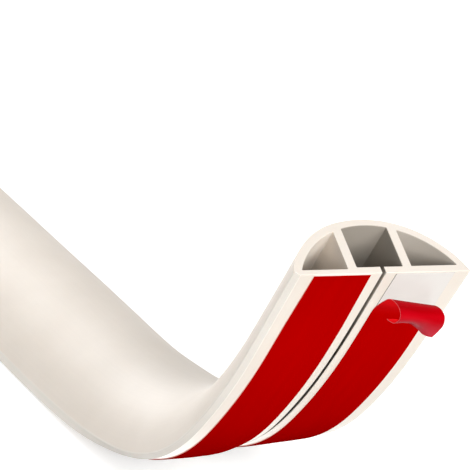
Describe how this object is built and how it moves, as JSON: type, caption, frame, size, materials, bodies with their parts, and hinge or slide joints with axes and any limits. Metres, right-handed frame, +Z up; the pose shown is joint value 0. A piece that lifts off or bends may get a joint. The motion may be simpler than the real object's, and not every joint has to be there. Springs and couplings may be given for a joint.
{
  "type": "floor cable cover",
  "caption": "Length of soft domed floor cable cover with hollow cord channels, a slit underside and taped base, one end bent up with a release liner peeled back.",
  "frame": {"origin": "on the floor, under the middle of the bounding box", "axes": "+Z up; +X along the cover towards the lifted end; +Y across it, towards the peeled liner's side"},
  "size_m": [0.9522, 0.067, 0.123],
  "materials": {
    "cover_pvc": "satin ivory soft PVC, smooth as extruded",
    "adhesive": "milky clear acrylic adhesive, faintly glossy",
    "liner_film": "red release film, smooth and glossy"
  },
  "bodies": {
    "root": {"cover_extrusion": "cover_pvc", "adhesive_tape_left": "adhesive", "adhesive_tape_right": "adhesive", "release_liner_left": "liner_film", "release_liner_right": "liner_film"}
  },
  "joints": []
}
